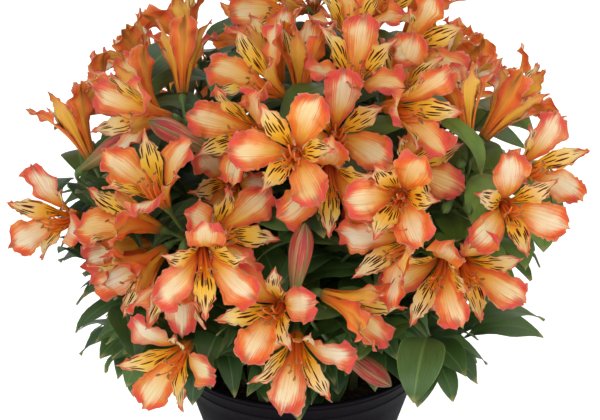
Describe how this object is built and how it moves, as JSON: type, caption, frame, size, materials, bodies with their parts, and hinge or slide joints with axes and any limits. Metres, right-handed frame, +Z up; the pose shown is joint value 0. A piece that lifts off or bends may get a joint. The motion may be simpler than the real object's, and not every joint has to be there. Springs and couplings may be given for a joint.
{
  "type": "potted peruvian lily",
  "caption": "Peruvian lily in a round black nursery pot: a low dome of coral-edged golden blooms on branched flower stalks, over leafy green shoots that hang past the rim.",
  "frame": {"origin": "centre of the pot's underside, on the plane that the pot stands on", "axes": "+Z up along the pot's axis, -Y towards the side that the picture shows, +X to that view's right"},
  "size_m": [0.356, 0.3642, 0.3817],
  "materials": {
    "pot": "satin",
    "soil": "matte",
    "shoot": "satin",
    "bloom": "matte"
  },
  "bodies": {
    "root": {"bloom_back_left_1": "bloom", "bloom_back_left_2": "bloom", "bloom_back_middle_1": "bloom", "bloom_back_middle_2": "bloom", "bloom_back_middle_3": "bloom", "bloom_back_right_1": "bloom", "bloom_back_right_2": "bloom", "bloom_far_left_2": "bloom", "bloom_far_right_1": "bloom", "bloom_far_right_2": "bloom", "bloom_left_1": "bloom", "bloom_left_2": "bloom", "bloom_left_front_1": "bloom", "bloom_left_front_2": "bloom", "bloom_left_front_4": "bloom", "bloom_left_front_5": "bloom", "bloom_left_front_7": "bloom", "bloom_lower_left_1": "bloom", "bloom_lower_right_1": "bloom", "bloom_middle_left_1": "bloom", "bloom_middle_left_3": "bloom", "bloom_middle_top_1": "bloom", "bloom_right_2": "bloom", "bloom_right_3": "bloom", "bloom_top_1": "bloom", "bloom_top_2": "bloom", "bloom_upper_left_1": "bloom", "bloom_upper_left_2": "bloom", "bloom_upper_left_3": "bloom", "bloom_upper_right_1": "bloom", "bloom_upper_right_2": "bloom", "bloom_upper_right_4": "bloom", "pot": "pot", "shoot_back_left": "shoot", "shoot_back_middle": "shoot", "shoot_back_right": "shoot", "shoot_back_top": "shoot", "shoot_centre": "shoot", "shoot_far_left": "shoot", "shoot_far_right": "shoot", "shoot_leafy_back": "shoot", "shoot_leafy_left": "shoot", "shoot_leafy_middle": "shoot", "shoot_leafy_right": "shoot", "shoot_leafy_side_left": "shoot", "shoot_leafy_side_right": "shoot", "shoot_left": "shoot", "shoot_left_front": "shoot", "shoot_lower_left": "shoot", "shoot_lower_middle": "shoot", "shoot_lower_right": "shoot", "shoot_middle_left": "shoot", "shoot_middle_right": "shoot", "shoot_middle_top": "shoot", "shoot_right": "shoot", "shoot_top": "shoot", "shoot_upper_left": "shoot", "shoot_upper_right": "shoot", "soil": "soil"}
  },
  "joints": []
}
